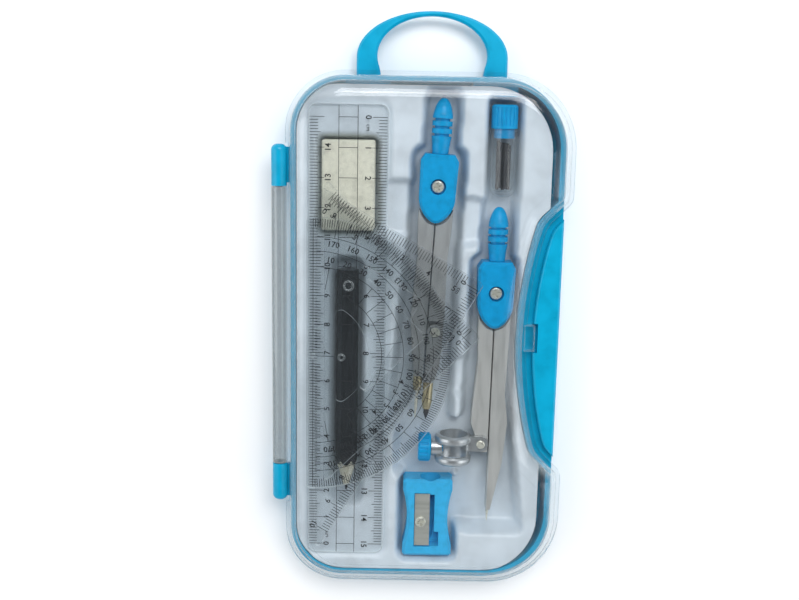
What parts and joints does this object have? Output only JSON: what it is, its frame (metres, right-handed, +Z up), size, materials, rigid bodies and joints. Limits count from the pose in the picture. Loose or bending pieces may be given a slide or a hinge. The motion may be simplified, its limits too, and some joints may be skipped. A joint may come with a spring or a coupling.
{
  "type": "drafting compass set",
  "caption": "Hinged case with a clear lid, formed tray and handle, holding ruler, protractor, set squares, two compasses, leads, pencil, eraser and sharpener.",
  "frame": {"origin": "centre of the base's underside", "axes": "+X across the case away from its hinge, +Y along it towards the carrying handle, +Z up through the lid"},
  "size_m": [0.1008, 0.1975, 0.0205],
  "materials": {
    "case_plastic": "glossy moulded",
    "clear_lid": "clear polished",
    "white_tray": "satin formed sheet",
    "clear_sheet": "clear polished",
    "eraser_rubber": "matte",
    "pencil_lacquer": "lacquered",
    "graphite": "satin",
    "clear_vial": "clear",
    "tool_plastic": "satin moulded",
    "sharpener_plastic": "satin moulded",
    "blade_steel": "ground",
    "screw_steel": "plated",
    "satin_steel": "satin",
    "brass_fittings": "plated"
  },
  "bodies": {
    "case": {"case_base": "case_plastic", "insert_tray": "white_tray"},
    "lid": {"case_lid": "clear_lid"},
    "handle": {"carrying_handle": "case_plastic"},
    "ruler": {"ruler": "clear_sheet"},
    "protractor": {"protractor": "clear_sheet"},
    "set_square_45": {"set_square_45": "clear_sheet"},
    "set_square_60": {"set_square_60": "clear_sheet"},
    "eraser": {"eraser": "eraser_rubber"},
    "pencil": {"pencil_barrel": "pencil_lacquer", "pencil_core": "graphite"},
    "sharpener": {"sharpener_body": "sharpener_plastic", "sharpener_blade": "blade_steel", "sharpener_screw": "screw_steel"},
    "lead_case": {"lead_tube": "clear_vial", "spare_leads": "graphite"},
    "lead_cap": {"lead_cap": "tool_plastic"},
    "compass_a_head": {"compass_a_head_front": "tool_plastic", "compass_a_head_back": "tool_plastic", "compass_a_grip": "tool_plastic", "compass_a_hinge_screw": "screw_steel", "compass_a_hinge_nut": "screw_steel"},
    "compass_a_needle_leg": {"compass_a_needle_leg": "satin_steel", "compass_a_needle_ferrule": "brass_fittings", "compass_a_needle": "screw_steel"},
    "compass_a_knee_leg": {"compass_a_knee_leg": "satin_steel", "compass_a_knee_rivet": "satin_steel"},
    "compass_a_lower_leg": {"compass_a_lower_leg": "satin_steel", "compass_a_lead_sleeve": "brass_fittings", "compass_a_drawing_lead": "graphite"},
    "compass_b_head": {"compass_b_head_front": "tool_plastic", "compass_b_head_back": "tool_plastic", "compass_b_grip": "tool_plastic", "compass_b_hinge_screw": "screw_steel", "compass_b_hinge_nut": "screw_steel"},
    "compass_b_needle_leg": {"compass_b_needle_leg": "satin_steel", "compass_b_needle": "screw_steel"},
    "compass_b_holder_leg": {"compass_b_holder_leg": "satin_steel", "compass_b_holder_rivet": "satin_steel"},
    "compass_b_holder": {"compass_b_holder_ring": "screw_steel"},
    "compass_b_knob": {"compass_b_clamp_knob": "tool_plastic"}
  },
  "joints": [
    {"name": "lid_hinge", "type": "hinge", "parent": "case", "child": "lid", "pos_m": [-0.0502, 0, 0.01215], "axis": [0, -1, 0], "range_deg": [0, 180]},
    {"name": "handle_swing", "type": "hinge", "parent": "case", "child": "handle", "pos_m": [0, 0.0852, 0.005], "axis": [1, 0, 0], "range_deg": [-90, 30]},
    {"name": "ruler_lift", "type": "slide", "parent": "case", "child": "ruler", "axis": [0, 0, 1], "range_m": [0, 0.025]},
    {"name": "protractor_lift", "type": "slide", "parent": "lid", "child": "protractor", "axis": [0, 0, -1], "range_m": [0, 0.015]},
    {"name": "set_square_45_lift", "type": "slide", "parent": "lid", "child": "set_square_45", "axis": [0, 0, -1], "range_m": [0, 0.015]},
    {"name": "set_square_60_lift", "type": "slide", "parent": "lid", "child": "set_square_60", "axis": [0, 0, -1], "range_m": [0, 0.015]},
    {"name": "eraser_lift", "type": "slide", "parent": "case", "child": "eraser", "axis": [0, 0, 1], "range_m": [0, 0.02]},
    {"name": "pencil_lift", "type": "slide", "parent": "case", "child": "pencil", "axis": [0, 0, 1], "range_m": [0, 0.02]},
    {"name": "sharpener_lift", "type": "slide", "parent": "case", "child": "sharpener", "axis": [0, 0, 1], "range_m": [0, 0.03]},
    {"name": "lead_case_lift", "type": "slide", "parent": "case", "child": "lead_case", "axis": [0, 0, 1], "range_m": [0, 0.05]},
    {"name": "lead_cap_pull", "type": "slide", "parent": "lead_case", "child": "lead_cap", "axis": [0, 1, 0], "range_m": [0, 0.015]},
    {"name": "compass_a_lift", "type": "slide", "parent": "case", "child": "compass_a_head", "axis": [0, 0, 1], "range_m": [0, 0.045]},
    {"name": "compass_a_needle_leg_open", "type": "hinge", "parent": "compass_a_head", "child": "compass_a_needle_leg", "pos_m": [0.0028, 0.0514, 0.0077], "axis": [0, 0, -1], "range_deg": [0, 35]},
    {"name": "compass_a_knee_leg_open", "type": "hinge", "parent": "compass_a_head", "child": "compass_a_knee_leg", "pos_m": [0.0028, 0.0514, 0.0077], "axis": [0, 0, 1], "range_deg": [0, 35]},
    {"name": "compass_a_knee_bend", "type": "hinge", "parent": "compass_a_knee_leg", "child": "compass_a_lower_leg", "pos_m": [0.00308, 0.00132, 0.0077], "axis": [0, 0, -1], "range_deg": [0, 60]},
    {"name": "compass_b_lift", "type": "slide", "parent": "case", "child": "compass_b_head", "axis": [0, 0, 1], "range_m": [0, 0.08]},
    {"name": "compass_b_needle_leg_open", "type": "hinge", "parent": "compass_b_head", "child": "compass_b_needle_leg", "pos_m": [0.0235, 0.0155, 0.0077], "axis": [0, 0, 1], "range_deg": [0, 35]},
    {"name": "compass_b_holder_leg_open", "type": "hinge", "parent": "compass_b_head", "child": "compass_b_holder_leg", "pos_m": [0.0235, 0.0155, 0.0077], "axis": [0, 0, -1], "range_deg": [0, 35]},
    {"name": "compass_b_holder_tilt", "type": "hinge", "parent": "compass_b_holder_leg", "child": "compass_b_holder", "pos_m": [0.01985, -0.03795, 0.0077], "axis": [0, 0, 1], "range_deg": [0, 40]},
    {"name": "compass_b_clamp_turn", "type": "hinge", "parent": "compass_b_holder", "child": "compass_b_knob", "pos_m": [0.01042, -0.04022, 0.0096], "axis": [0.9999, -0.014, 0], "range_deg": [-400, 400]}
  ],
  "couplings": [
    {"joint": "ruler_lift", "follows": "lid_hinge", "m_per_rad": 0.005},
    {"joint": "protractor_lift", "follows": "lid_hinge", "m_per_rad": 0.0036},
    {"joint": "set_square_45_lift", "follows": "lid_hinge", "m_per_rad": 0.0024},
    {"joint": "set_square_60_lift", "follows": "lid_hinge", "m_per_rad": 0.0012},
    {"joint": "eraser_lift", "follows": "lid_hinge", "m_per_rad": 0.0035},
    {"joint": "pencil_lift", "follows": "lid_hinge", "m_per_rad": 0.0035},
    {"joint": "sharpener_lift", "follows": "lid_hinge", "m_per_rad": 0.008},
    {"joint": "lead_case_lift", "follows": "lid_hinge", "m_per_rad": 0.014},
    {"joint": "lead_cap_pull", "follows": "lid_hinge", "m_per_rad": 0.0025},
    {"joint": "compass_a_lift", "follows": "lid_hinge", "m_per_rad": 0.0125},
    {"joint": "compass_a_needle_leg_open", "follows": "lid_hinge", "ratio": 0.11},
    {"joint": "compass_a_knee_leg_open", "follows": "lid_hinge", "ratio": 0.11},
    {"joint": "compass_a_knee_bend", "follows": "lid_hinge", "ratio": 0.11},
    {"joint": "compass_b_lift", "follows": "lid_hinge", "m_per_rad": 0.023},
    {"joint": "compass_b_needle_leg_open", "follows": "lid_hinge", "ratio": 0.1},
    {"joint": "compass_b_holder_leg_open", "follows": "lid_hinge", "ratio": 0.12},
    {"joint": "compass_b_holder_tilt", "follows": "lid_hinge", "ratio": 0.12},
    {"joint": "compass_b_clamp_turn", "follows": "lid_hinge", "ratio": -2}
  ]
}
